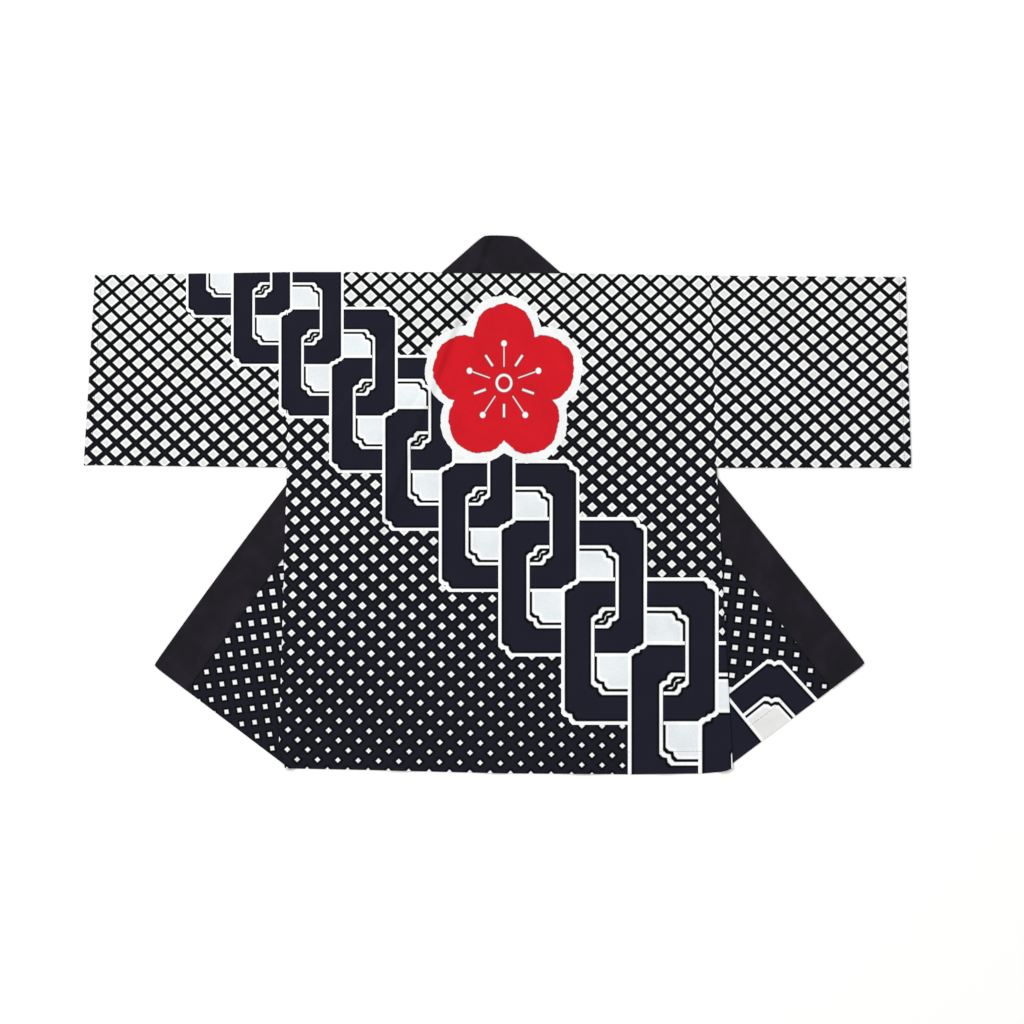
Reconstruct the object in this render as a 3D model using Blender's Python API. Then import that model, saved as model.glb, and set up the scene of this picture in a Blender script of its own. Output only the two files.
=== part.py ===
"""Happi coat: a short, straight coat of printed cotton with square sleeves and a band collar.

It lies flat with its back up. Each front is folded outward beneath the back, along a line from
the top corner of the collar to the foot of the side seam, so that it shows as a flap beyond the
seam. Every piece is cut flat in the coat's own plan and then taken through its folds.

Plan axes: X along the sleeves from the middle of the back, Y up from the shoulder line to the
neck and down to the hem, Z up from the surface that the coat lies on. All sizes are in metres.
"""

import math
from collections import namedtuple

import bmesh
import bpy
import numpy as np
from mathutils import Vector
from mathutils.geometry import delaunay_2d_cdt

# Walls and clearances
CLOTH = 0.0010            # printed cotton, with the air that a pressed layer keeps
COLLAR = 0.0020           # the band: the same cotton, folded over a stiffener
GAP = 0.0003              # between pieces at a seam, and between layers
DRAPE = 0.012             # how far past an edge below it a layer takes to come down
MARGIN = 0.002            # how far past that edge the layer stays at its full height
COLLAR_WIDTH = 0.0633
BAND_RISE = 0.160         # how far below the shoulder line the back still rises over the band

# How finely curves are cut
ROLL_STEPS = 6            # flats round the half turn of a fold
DRAPE_STEPS = 4           # flats down one drape
EDGE_STEPS = 10           # lengths along a curved edge
SLEEVE_LENGTHS = 8        # lengths along a sleeve
SLEEVE_WIDTHS = 6         # lengths across one layer of a sleeve
SEARCH_STEPS = 200        # places tried when a line is followed to where it meets another
POINT_MERGE = 0.0001      # points of a cut that are nearer than this become one
SMOOTH_ANGLE = math.radians(30.0)

# The hem of the back, as it lies: X and Y of its low points between the two corners
HEM = ((-0.200, -0.7495), (0.000, -0.7545), (0.200, -0.7560), (0.300, -0.7550))

# Each side of the coat, as it lies. A point is X and Y in the plan.
Side = namedtuple("Side", [
    "name",
    "sign",               # -1 on the left, +1 on the right
    "armhole_top",        # where the armhole seam meets the shoulder fold
    "armpit",             # the foot of the armhole seam
    "hip",                # the widest place of the side seam
    "hem_corner",         # the foot of the side seam
    "cuff_top",
    "cuff_foot",
    "collar_corner",      # the top corner of the collar, where the fold of the front starts
    "fold_foot",          # where that fold ends on the hem
    "lean",               # the front edge's slope away from the middle at the neck
    "bow",                # how fast that slope grows, per metre
    "front_drop",         # how far below the shoulder line the front edge ends
])
LEFT = Side("left", -1, (-0.3247, 0.0), (-0.3247, -0.2937), (-0.3367, -0.7063), (-0.3277, -0.7463),
            (-0.6138, -0.0045), (-0.6304, -0.2900), (-0.0265, 0.0562), (-0.3232, -0.7485),
            0.0006, 0.0577, 0.7621)
RIGHT = Side("right", 1, (0.3139, -0.0053), (0.3221, -0.2944), (0.3440, -0.7094), (0.3447, -0.7463),
             (0.6068, -0.0075), (0.6151, -0.2937), (0.0223, 0.0547), (0.3349, -0.7507),
             0.0279, 0.0314, 0.7751)

# Folds: the radius is that of the middle of the wall
CLOTH_ROLL = (CLOTH + GAP) / 2        # pressed folds, along the shoulders and round the sleeves
FRONT_ROLL = (COLLAR + GAP) / 2       # the softer fold of a front, which the collar band shares
ROLL_LENGTH = math.pi * FRONT_ROLL    # the length of the cut that a front's fold takes up
CORNER_CUT = 0.0050                   # how far below the collar's top corner the side band starts
FOLD_PARTING = 0.0010                 # how much more the collar seam parts inside that fold
FOLD_REACH = 0.025                    # how far up and down the seam it does so

# Finishes: base colour, roughness
NAVY_PRINT = ((0.060, 0.058, 0.085), 0.85)
NAVY_PLAIN = ((0.021, 0.019, 0.028), 0.80)


def smooth(value):
    """0 below 0, 1 above 1 and an even curve between."""
    clipped = np.clip(value, 0.0, 1.0)
    return clipped * clipped * (3.0 - 2.0 * clipped)


def settle(distance):
    """Share of its height that a layer keeps at a distance inside (+) or outside (-) an edge below."""
    return smooth((distance + MARGIN + DRAPE) / DRAPE)


def drape_distances():
    """Distances from an edge below at which a layer that comes down over it is bent."""
    return [-MARGIN - DRAPE * step / DRAPE_STEPS for step in range(DRAPE_STEPS + 1)]


class Fold:
    """The fold of one front: a straight line down the plan, with the front turned back beneath."""

    def __init__(self, side):
        self.side = side
        self.start = np.array(side.collar_corner)
        along = np.array(side.fold_foot) - self.start
        self.length = np.hypot(*along)
        self.along = along / self.length
        self.outward = side.sign * np.array((-self.along[1], self.along[0]))

    def measure(self, points):
        """Distances of points along the fold line and outward from it."""
        offset = np.asarray(points) - self.start
        return offset @ self.along, offset @ self.outward

    def place(self, along, outward):
        """The points at the given distances along the fold line and outward from it."""
        return self.start + np.outer(along, self.along) + np.outer(outward, self.outward)

    def beneath(self, points):
        """The points of the cut that come to lie below the given points of the plan, and back."""
        along, outward = self.measure(points)
        return self.place(along, -outward - ROLL_LENGTH)

    def front_edge(self, y):
        """X of the front edge in the cut: a line that leans and bows away from the middle."""
        down = self.side.collar_corner[1] - y
        slope = self.side.lean + self.side.bow * down
        return self.side.collar_corner[0] + self.side.sign * slope * down

    def inside_edge(self, points):
        """How far the folded part below a point of the plan lies inside the front edge."""
        below = self.beneath(points)
        return self.side.sign * (below[:, 0] - self.front_edge(below[:, 1]))

    def inside_band(self, points):
        """How far a point of the plan lies past the collar seam, in the part that isn't folded."""
        points = np.asarray(points)
        seam = self.front_edge(points[:, 1]) + self.side.sign * COLLAR_WIDTH
        return -self.side.sign * (points[:, 0] - seam)

    def front_bed(self, points):
        """Height of what lies under the part of the front that isn't folded."""
        inside = self.inside_edge(points)
        outward = self.measure(points)[1]
        past_band = smooth((inside - COLLAR_WIDTH - MARGIN) / DRAPE)
        past_fold = smooth((outward - MARGIN) / DRAPE)
        return (COLLAR + GAP) * settle(inside) - (COLLAR - CLOTH) * past_band * past_fold

    def back_bed(self, points):
        """Height of this front's layers under the back and under the collar at the neck."""
        outward = self.measure(points)[1]
        band = (COLLAR - CLOTH) * settle(self.inside_band(points))
        return settle(outward) * (self.front_bed(points) + CLOTH + GAP + band)

    def edge_line(self, inset):
        """A line in the cut at a distance inside the front edge, from neck to hem."""
        y = np.linspace(self.side.collar_corner[1], -self.side.front_drop - DRAPE, EDGE_STEPS)
        return np.column_stack((self.front_edge(y) + self.side.sign * inset, y))

    def mitre(self):
        """The slanted end of the collar at the neck: its top, its direction and the way inward."""
        top = np.array(self.side.collar_corner)
        down = neck_point(self) - top
        down = down / np.hypot(*down)
        return top, down, self.side.sign * np.array((down[1], -down[0]))

    def mitre_point(self, y, inward):
        """The point at height y on a line parallel to the mitre, at a distance inward from it."""
        top, down, across = self.mitre()
        run = (y - top[1] - inward * across[1]) / down[1]
        return top + across * inward + down * run

    def collar_seam(self, clearance):
        """The front's side of the collar seam in the cut, from the neck down to the hem.

        It keeps a clearance to the band, and more where both pieces turn through the fold.
        """
        ends = (0.0, self.hem_point(COLLAR_WIDTH)[1])
        y = np.linspace(*ends, SEARCH_STEPS)
        x = self.front_edge(y) + self.side.sign * (COLLAR_WIDTH + clearance)
        outward = self.measure(np.column_stack((x, y)))[1]
        crossing = np.interp(ROLL_LENGTH / 2, -outward, y)
        near = crossing + np.linspace(-FOLD_REACH, FOLD_REACH, EDGE_STEPS + 1)
        y = np.union1d(np.linspace(*ends, EDGE_STEPS), near)[::-1]
        parting = FOLD_PARTING * smooth(1.0 - np.abs(y - crossing) / FOLD_REACH) * (clearance > 0.0)
        x = self.front_edge(y) + self.side.sign * (COLLAR_WIDTH + clearance + parting)
        return np.column_stack((x, y))

    def straight_line(self, outward):
        """A line at a distance outward from the fold, a little longer than the fold."""
        reach = np.array((-DRAPE, self.length + DRAPE))
        return self.place(reach, np.full(2, outward))

    def hem_point(self, inset):
        """The point of the front's hem, in the cut, at a distance inside the front edge."""
        tip = np.array((self.front_edge(-self.side.front_drop), -self.side.front_drop))
        foot = np.array(self.side.fold_foot)
        share = inset / np.hypot(*(foot - tip))
        return tip + (foot - tip) * share

    def fold_over(self, points, rise, bed, wall):
        """Take cut points through the fold; rise is their height in the wall from its middle."""
        along, outward = self.measure(points)
        turn = np.clip(-outward / ROLL_LENGTH, 0.0, 1.0) * math.pi
        spread = np.where(outward >= 0.0, outward, -outward - ROLL_LENGTH)
        in_roll = (outward < 0.0) & (outward > -ROLL_LENGTH)
        spread = np.where(in_roll, -(FRONT_ROLL + rise) * np.sin(turn), spread)
        plan = self.place(along, spread)
        level = wall / 2 + FRONT_ROLL + (FRONT_ROLL + rise) * np.cos(turn)
        level = np.where(outward >= 0.0, wall / 2 + bed(plan) + rise, level)
        return np.column_stack((plan, level))


FOLDS = {side.name: Fold(side) for side in (LEFT, RIGHT)}


def back_bed(points):
    """Height of what lies under the back: both fronts, and the bare surface between them."""
    return FOLDS["left"].back_bed(points) + FOLDS["right"].back_bed(points)


def shoulder(x):
    """Y of the shoulder fold: level on the left, and a little lower towards the right armhole."""
    x = np.asarray(x)
    return np.interp(x, (0.0, RIGHT.armhole_top[0]), (0.0, RIGHT.armhole_top[1]))


def shoulder_roll(x):
    """Radius of the shoulder fold, which grows where the collar band lies in it."""
    crest = np.column_stack((x, shoulder(x)))
    fronts = sum(fold.front_bed(crest) * (fold.measure(crest)[1] > 0.0) for fold in FOLDS.values())
    return (back_bed(crest) - fronts) / 2


def neck_point(fold, clearance=0.0):
    """Where the collar seam meets the shoulder line, or a point beside it, clear of the band."""
    x = fold.front_edge(0.0) + fold.side.sign * (COLLAR_WIDTH + clearance)
    return np.array((x, float(shoulder(x))))


def side_edge(side):
    """The body's edge down the armhole and the side seam, clear of the sleeve."""
    points = np.array((side.armhole_top, side.armpit, side.hip, side.hem_corner))
    return points - np.array((side.sign * GAP / 2, 0.0))


def inside_polygon(points, outline):
    """Which points lie inside a closed outline, by counting the edges to their right."""
    inside = np.zeros(len(points), dtype=bool)
    for (x0, y0), (x1, y1) in zip(outline, np.roll(outline, -1, axis=0)):
        spans = (y0 > points[:, 1]) != (y1 > points[:, 1])
        rise = y1 - y0 if y1 != y0 else 1.0
        inside ^= spans & (points[:, 0] < x0 + (x1 - x0) * (points[:, 1] - y0) / rise)
    return inside


def triangulate(outline, lines):
    """Triangles that fill an outline and keep to the given lines, which may run past it."""
    points = [Vector(point) for point in outline]
    edges = [(i, (i + 1) % len(outline)) for i in range(len(outline))]
    for line in lines:
        first = len(points)
        points += [Vector(point) for point in line]
        edges += [(i, i + 1) for i in range(first, first + len(line) - 1)]
    found = delaunay_2d_cdt(points, edges, [], 0, POINT_MERGE)
    vertices = np.array([tuple(point) for point in found[0]])
    faces = np.array(found[2])
    keep = inside_polygon(vertices[faces].mean(axis=1), np.asarray(outline))
    faces = faces[keep]
    used, faces = np.unique(faces, return_inverse=True)
    return vertices[used], faces.reshape(-1, 3)


def add_solid(name, points, polygons, finish):
    """Make a closed mesh into a named object with a material of its own."""
    mesh = bpy.data.meshes.new(name)
    mesh.from_pydata(points.tolist(), [], polygons)
    shape = bmesh.new()
    shape.from_mesh(mesh)
    bmesh.ops.recalc_face_normals(shape, faces=shape.faces)
    shape.to_mesh(mesh)
    shape.free()
    colour, roughness = finish
    material = bpy.data.materials.new(name)
    material.use_nodes = True
    shader = material.node_tree.nodes["Principled BSDF"]
    shader.inputs["Base Color"].default_value = (*colour, 1.0)
    shader.inputs["Roughness"].default_value = roughness
    shader.inputs["Metallic"].default_value = 0.0
    mesh.materials.append(material)
    mesh.shade_smooth()
    mesh.set_sharp_from_angle(angle=SMOOTH_ANGLE)
    piece = bpy.data.objects.new(name, mesh)
    bpy.context.collection.objects.link(piece)
    return piece


def closed_wall(name, upper, lower, faces, finish):
    """Close two matching skins into one wall: one above, one below and a rim along their edge."""
    count = len(upper)
    edges = np.concatenate([faces[:, (0, 1)], faces[:, (1, 2)], faces[:, (2, 0)]])
    known = {tuple(edge) for edge in edges.tolist()}
    rim = [(a, b) for a, b in known if (b, a) not in known]
    polygons = faces.tolist()
    polygons += (faces[:, ::-1] + count).tolist()
    polygons += [(b, a, a + count, b + count) for a, b in sorted(rim)]
    return add_solid(name, np.concatenate((upper, lower)), polygons, finish)


def cut_piece(name, outline, lines, wall, carry, finish):
    """A piece cut from flat cloth: carry takes its cut points, at a height in the wall, to space."""
    points, faces = triangulate(outline, lines)
    turn = np.cross(points[faces[:, 1]] - points[faces[:, 0]], points[faces[:, 2]] - points[faces[:, 0]])
    faces = np.where((turn < 0.0)[:, None], faces[:, ::-1], faces)
    return closed_wall(name, carry(points, wall / 2), carry(points, -wall / 2), faces, finish)


def bend_lines(fold):
    """Lines of the plan along which what lies over one front is bent."""
    lines = []
    for distance in drape_distances():
        lines.append(fold.straight_line(distance))
        lines.append(fold.straight_line(-distance))
        lines.append(fold.beneath(fold.edge_line(distance)))
        lines.append(fold.beneath(fold.edge_line(COLLAR_WIDTH - distance)))
    return lines


def band_lines(fold):
    """Lines along the collar seam, near the neck, where the back comes up over the band."""
    y = np.linspace(DRAPE, -BAND_RISE, EDGE_STEPS // 2)
    lines = []
    for distance in drape_distances():
        x = fold.front_edge(y) + fold.side.sign * (COLLAR_WIDTH - distance)
        lines.append(np.column_stack((x, y)))
    return lines


def make_back():
    """The back, from the hem up over the shoulder folds, with its neck edge left flat."""
    left_side = side_edge(LEFT)
    right_side = side_edge(RIGHT)
    neck = [neck_point(FOLDS["left"], GAP), neck_point(FOLDS["right"], GAP)]
    turn = math.pi * CLOTH_ROLL

    def shoulder_edge(start, end):
        """The end of the cut over one shoulder: past the fold by its half turn."""
        x = np.linspace(start[0], end[0], EDGE_STEPS)
        return np.column_stack((x, shoulder(x) - CLOTH_ROLL + turn))

    left_edge = shoulder_edge(left_side[0], neck[0])
    right_edge = shoulder_edge(neck[1], right_side[0])
    neck_x = np.array((neck[0][0], neck[1][0]))
    neck_edge = np.column_stack((neck_x, shoulder(neck_x) - CLOTH_ROLL))
    outline = [*left_edge, *neck_edge, *right_edge, *right_side[1:], *HEM[::-1], *left_side[:0:-1]]
    lines = []
    for fold in FOLDS.values():
        lines += bend_lines(fold) + band_lines(fold)
    for step in range(ROLL_STEPS):
        rise = turn * step / ROLL_STEPS - turn
        lines += [left_edge + (0.0, rise), right_edge + (0.0, rise)]

    def carry(points, rise):
        x, y = points.T
        radius = shoulder_roll(x)
        past = y - (shoulder(x) - CLOTH_ROLL)
        angle = np.clip(past / turn, 0.0, 1.0) * math.pi
        flat = np.column_stack((x, np.minimum(y, shoulder(x) - CLOTH_ROLL)))
        bed = back_bed(flat)
        rolled_y = flat[:, 1] + (radius + rise) * np.sin(angle)
        rolled_z = bed + CLOTH / 2 - radius + (radius + rise) * np.cos(angle)
        return np.column_stack((x, rolled_y, rolled_z))

    return cut_piece("back", np.array(outline), lines, CLOTH, carry, NAVY_PRINT)


def make_front(fold):
    """A front, from the shoulder fold to its hem, turned back beneath itself along the fold."""
    side = fold.side
    edge = side_edge(side)
    x = np.linspace(edge[0][0], neck_point(fold, GAP)[0], EDGE_STEPS)
    top = np.column_stack((x, shoulder(x) - shoulder_roll(x) - GAP))
    seam = fold.collar_seam(GAP)
    outline = [*top, *seam[1:], side.fold_foot, *edge[:0:-1]]
    lines = [fold.straight_line(-ROLL_LENGTH * step / ROLL_STEPS) for step in range(ROLL_STEPS + 1)]
    lines += bend_lines(fold)

    def carry(points, rise):
        return fold.fold_over(points, rise, fold.front_bed, CLOTH)

    return cut_piece(f"front_{side.name}", np.array(outline), lines, CLOTH, carry, NAVY_PRINT)


def make_collar_band(fold):
    """The collar band down one front edge, from the turn at the neck to the hem, folded too."""
    side = fold.side
    top, _, inward = fold.mitre()
    inset = inward * (FRONT_ROLL + GAP)
    seam = fold.collar_seam(0.0)
    edge_y = np.linspace(-side.front_drop, top[1] - CORNER_CUT, EDGE_STEPS)
    edge = np.column_stack((fold.front_edge(edge_y), edge_y))
    outline = [neck_point(fold) + inset, *seam[1:], *edge]
    lines = [fold.straight_line(-ROLL_LENGTH * step / ROLL_STEPS) for step in range(ROLL_STEPS + 1)]

    def bed(points):
        return (COLLAR + GAP) * settle(fold.inside_edge(points))

    lines += [fold.beneath(fold.edge_line(distance)) for distance in drape_distances()]

    def carry(points, rise):
        return fold.fold_over(points, rise, bed, COLLAR)

    return cut_piece(f"collar_{side.name}", np.array(outline), lines, COLLAR, carry, NAVY_PLAIN)


def make_collar_neck():
    """The collar band at the back of the neck, whose slanted ends roll down to the side bands."""
    turn = math.pi * FRONT_ROLL
    past = FRONT_ROLL - turn
    outline = []
    lines = []
    for fold, order in ((FOLDS["left"], 1), (FOLDS["right"], -1)):
        seam_y = shoulder(neck_point(fold)[0]) - CLOTH_ROLL + GAP
        top_y = fold.side.collar_corner[1]
        across = fold.mitre()[2]
        flat = [fold.mitre_point(top_y, FRONT_ROLL), fold.mitre_point(seam_y, FRONT_ROLL)]
        ends = [point - across * turn for point in flat]
        outline += [flat[0], ends[0], ends[1], flat[1]][::order]
        lines += bend_lines(fold)
        for step in range(1, ROLL_STEPS + 1):
            inward = past + turn * step / ROLL_STEPS
            lines.append([fold.mitre_point(top_y + DRAPE, inward), fold.mitre_point(-DRAPE, inward)])

    def carry(points, rise):
        plan = points.copy()
        drop = np.zeros(len(points))
        for fold in FOLDS.values():
            top, _, across = fold.mitre()
            inward = (points - top) @ across
            angle = np.clip((FRONT_ROLL - inward) / turn, 0.0, 1.0) * math.pi
            rolled = FRONT_ROLL - (FRONT_ROLL + rise) * np.sin(angle)
            plan += np.outer(np.where(angle > 0.0, rolled - inward, 0.0), across)
            drop += (FRONT_ROLL + rise) * (1.0 - np.cos(angle))
        return np.column_stack((plan, back_bed(plan) + COLLAR / 2 + rise - drop))

    return cut_piece("collar_neck", np.array(outline), lines, COLLAR, carry, NAVY_PLAIN)


def make_sleeve(side):
    """A sleeve: a flattened tube, folded along its top and its foot, open at armhole and cuff."""
    share = np.linspace(0.0, 1.0, SLEEVE_LENGTHS + 1)
    start_top = np.array(side.armhole_top) + (side.sign * GAP / 2, 0.0)
    start_foot = np.array(side.armpit) + (side.sign * GAP / 2, 0.0)
    top = start_top + np.outer(share, np.array(side.cuff_top) - start_top)
    foot = start_foot + np.outer(share, np.array(side.cuff_foot) - start_foot)
    across = np.linspace(0.0, 1.0, SLEEVE_WIDTHS + 1)
    turn = np.linspace(0.0, math.pi, ROLL_STEPS + 1)[1:-1]

    def ring(rise):
        """One loop round the tube at each length: over the upper layer and back below it."""
        reach = CLOTH_ROLL + rise
        loops = []
        for high, low in zip(top, foot):
            line = low - high
            depth = np.hypot(*line)
            line = line / depth
            run = CLOTH_ROLL + across * (depth - 2 * CLOTH_ROLL)
            foot_roll = depth - CLOTH_ROLL + reach * np.sin(turn)
            top_roll = CLOTH_ROLL - reach * np.sin(turn)
            along = np.concatenate((run, foot_roll, run[::-1], top_roll))
            level = np.concatenate((np.full(len(run), reach), reach * np.cos(turn),
                                    np.full(len(run), -reach), -reach * np.cos(turn)))
            middle = CLOTH / 2 + CLOTH_ROLL
            loops.append(np.column_stack((high + np.outer(along, line), level + middle)))
        return np.array(loops)

    outer = ring(CLOTH / 2)
    inner = ring(-CLOTH / 2)
    stations, around = outer.shape[:2]
    index = np.arange(stations * around).reshape(stations, around)
    ahead = np.roll(index, -1, axis=1)
    skin = np.stack((index[:-1], ahead[:-1], ahead[1:], index[1:]), axis=-1).reshape(-1, 4)
    offset = stations * around
    polygons = skin.tolist() + (skin[:, ::-1] + offset).tolist()
    for end in (0, -1):
        rim = np.stack((index[end], ahead[end], ahead[end] + offset, index[end] + offset), axis=-1)
        polygons += rim.tolist()
    points = np.concatenate((outer.reshape(-1, 3), inner.reshape(-1, 3)))
    return add_solid(f"sleeve_{side.name}", points, polygons, NAVY_PRINT)


def clear_scene():
    """Remove whatever the file opened with."""
    for item in list(bpy.data.objects):
        bpy.data.objects.remove(item, do_unlink=True)


def main():
    """Build the coat and set it with the middle of its box over the origin."""
    clear_scene()
    pieces = [make_back(), make_collar_neck()]
    for side in (LEFT, RIGHT):
        fold = FOLDS[side.name]
        pieces += [make_front(fold), make_collar_band(fold), make_sleeve(side)]
    corners = np.array([corner[:] for piece in pieces for corner in piece.bound_box])
    middle = (corners.min(axis=0) + corners.max(axis=0)) / 2
    coat = bpy.data.objects.new("coat", None)
    bpy.context.collection.objects.link(coat)
    coat.location = (-middle[0], -middle[1], 0.0)
    for piece in pieces:
        piece.parent = coat


main()
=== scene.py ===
import math

import bmesh
import bpy
import numpy as np
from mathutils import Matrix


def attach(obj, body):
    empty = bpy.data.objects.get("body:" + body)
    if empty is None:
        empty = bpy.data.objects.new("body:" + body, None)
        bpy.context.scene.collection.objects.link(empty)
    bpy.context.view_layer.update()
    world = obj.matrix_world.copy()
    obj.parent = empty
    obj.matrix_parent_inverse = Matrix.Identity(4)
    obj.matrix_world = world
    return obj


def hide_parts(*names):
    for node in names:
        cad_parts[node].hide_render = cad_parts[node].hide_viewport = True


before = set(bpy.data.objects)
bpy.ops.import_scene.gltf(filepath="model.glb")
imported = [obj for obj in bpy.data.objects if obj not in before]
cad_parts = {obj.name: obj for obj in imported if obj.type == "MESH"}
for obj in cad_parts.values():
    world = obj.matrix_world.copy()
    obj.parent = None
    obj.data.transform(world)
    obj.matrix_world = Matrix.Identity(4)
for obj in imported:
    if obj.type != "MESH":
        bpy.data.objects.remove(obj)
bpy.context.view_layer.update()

# The two fronts
# Each front is one straight panel of resist-printed cotton, sewn to the back at the shoulder and
# the side, hemmed below and bound by the collar down its edge. The coat lies with its back up, and
# the free part of each front is turned outward beneath it, so that it shows as a flap, print up.

PLAN_ORIGIN = np.array((0.00766, 0.34909, 0.0))   # the middle of the shoulder line
CLOTH = 0.0010            # cotton where it is turned and doubled, along hems and edges
SINGLE = 0.0002           # how much thinner a single layer is than a doubled one
COLLAR = 0.0020           # the collar band, which lies on and beside the cloth of the fronts
COLLAR_WIDTH = 0.0633
GAP = 0.0003              # between layers
DRAPE = 0.012             # how far past an edge below it a layer takes to come down
MARGIN = 0.002            # how far past that edge it stays at its full height
FRONT_ROLL = 0.00115      # radius of the fold of a front, which the collar shares
ROLL_LENGTH = math.pi * FRONT_ROLL

# Each side as it lies: points of the body's edge from the shoulder down to the hem, the cuff's
# two ends, then the fold of the front, and the slope and bow of the front edge.
SIDES = {
    "left": dict(sign=-1, edge=((-0.3247, 0.0), (-0.3247, -0.2937), (-0.3367, -0.7063), (-0.3277, -0.7463)),
                 cuff=((-0.6138, -0.0045), (-0.6304, -0.2900)), collar_corner=(-0.0265, 0.0562),
                 fold_foot=(-0.3232, -0.7468), lean=0.0006, bow=0.0577, front_drop=0.7621),
    "right": dict(sign=1, edge=((0.3139, -0.0053), (0.3221, -0.2944), (0.3445, -0.7094), (0.3465, -0.7463)),
                  cuff=((0.6068, -0.0075), (0.6151, -0.2937)), collar_corner=(0.0223, 0.0547),
                  fold_foot=(0.3349, -0.7492), lean=0.0279, bow=0.0314, front_drop=0.7751),
}
# Soft ridges left by wear in the two flaps: the middle, the turn in degrees, the length, the half
# width, the height and the bend of each.
FLAP_RIDGES = (
    (-0.412, -0.588, 28.0, 0.130, 0.013, 0.0009, 0.6), (-0.372, -0.668, 150.0, 0.090, 0.010, 0.0007, 0.0),
    (-0.452, -0.602, 60.0, 0.110, 0.012, 0.0006, -0.8), (0.428, -0.560, 140.0, 0.120, 0.012, 0.0008, 0.5),
    (0.392, -0.672, 35.0, 0.100, 0.011, 0.0008, 0.0), (0.470, -0.612, 120.0, 0.110, 0.013, 0.0006, 0.7),
)


def smooth(value):
    """0 below 0, 1 above 1 and an even curve between: three times the square less twice the cube."""
    clipped = np.clip(value, 0.0, 1.0)
    return clipped * clipped * (3.0 - 2.0 * clipped)


def settle(distance):
    """Share of its height that a layer keeps, from 1 inside an edge below it to 0 past the drape."""
    return smooth((distance + MARGIN + DRAPE) / DRAPE)


def ridges(points, rows):
    """Sum of soft ridges: each a bell across its line, which bows, and even along it to its ends."""
    total = np.zeros(points.shape[:-1])
    for x, y, turn, length, width, height, bend in rows:
        along = np.array((math.cos(math.radians(turn)), math.sin(math.radians(turn))))
        run = (points - (x, y)) @ along
        aside = (points - (x, y)) @ np.array((-along[1], along[0])) - bend * run * run
        total = total + height * np.exp(-(aside / width) ** 2) * smooth(2.0 - 4.0 * np.abs(run) / length)
    return total


class Front:
    """One front's fold: distances along it and outward from it, and what it does to a point."""

    def __init__(self, name):
        side = SIDES[name]
        self.name = name
        self.sign = side["sign"]
        self.start = np.array(side["collar_corner"])
        self.foot = np.array(side["fold_foot"])
        self.lean, self.bow, self.drop = side["lean"], side["bow"], side["front_drop"]
        along = self.foot - self.start
        self.along = along / np.hypot(*along)
        self.outward = self.sign * np.array((-self.along[1], self.along[0]))
        self.edge = np.array(side["edge"])

    def measure(self, points):
        """Dot products of the way from the fold's start with its direction and its outward side."""
        offset = points - self.start
        return offset @ self.along, offset @ self.outward

    def place(self, along, outward):
        """The start, plus each distance times its direction."""
        return self.start + along[..., None] * self.along + outward[..., None] * self.outward

    def beneath(self, points):
        """The point of the cut below a point of the plan: mirrored in the fold, less the roll."""
        along, outward = self.measure(points)
        return self.place(along, -outward - ROLL_LENGTH)

    def front_edge(self, y):
        """X of the front edge: a slope that grows evenly with the distance down from the neck."""
        down = self.start[1] - y
        return self.start[0] + self.sign * (self.lean + self.bow * down) * down

    def seam(self, y, clear=0.0):
        """X of the collar seam: one collar's width outward of the front edge, and a gap."""
        return self.front_edge(y) + self.sign * (COLLAR_WIDTH + clear)

    def side(self, y):
        """X of the body's side, straight from one point of its edge to the next, less half a gap."""
        return np.interp(y, self.edge[::-1, 1], self.edge[::-1, 0]) - self.sign * GAP / 2

    def fold_x(self, y, outward=0.0):
        """X of the line at a distance outward from the fold, at height y."""
        down = (self.start[1] + outward * self.outward[1] - y) / -self.along[1]
        return self.start[0] + outward * self.outward[0] + down * self.along[0]

    def inside_edge(self, points):
        """How far the turned part below a point of the plan lies inside the front edge."""
        below = self.beneath(points)
        return self.sign * (below[..., 0] - self.front_edge(below[..., 1]))

    def front_bed(self, points):
        """Height under the upper layer of the front: the collar band, then the plain cloth."""
        inside = self.inside_edge(points)
        past_band = smooth((inside - COLLAR_WIDTH - MARGIN) / DRAPE)
        past_fold = smooth((self.measure(points)[1] - MARGIN) / DRAPE)
        return (COLLAR + GAP) * settle(inside) - (COLLAR - CLOTH) * past_band * past_fold

    def flap_lift(self, plan):
        """The flap's ridges, which grow from nothing at the side seam that holds it down."""
        beyond = self.sign * (plan[..., 0] - self.side(plan[..., 1]))
        return ridges(plan, FLAP_RIDGES) * smooth((beyond - MARGIN) / 0.02)

    def fold_over(self, points, rise, bed, wall):
        """Above the bed outward of the fold, round a half turn, and back face up on the floor."""
        along, outward = self.measure(points)
        turn = np.clip(-outward / ROLL_LENGTH, 0.0, 1.0) * math.pi
        spread = np.where(outward >= 0.0, outward, -outward - ROLL_LENGTH)
        in_roll = (outward < 0.0) & (outward > -ROLL_LENGTH)
        spread = np.where(in_roll, -(FRONT_ROLL + rise) * np.sin(turn), spread)
        plan = round_off(self.place(along, spread))
        level = wall / 2 + FRONT_ROLL + (FRONT_ROLL + rise) * np.cos(turn)
        level = level + self.flap_lift(plan) * (outward <= -ROLL_LENGTH)
        level = np.where(outward >= 0.0, wall / 2 + bed(plan) + rise, level)
        return np.concatenate((plan, level[..., None]), axis=-1)


FRONTS = {name: Front(name) for name in SIDES}
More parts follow.
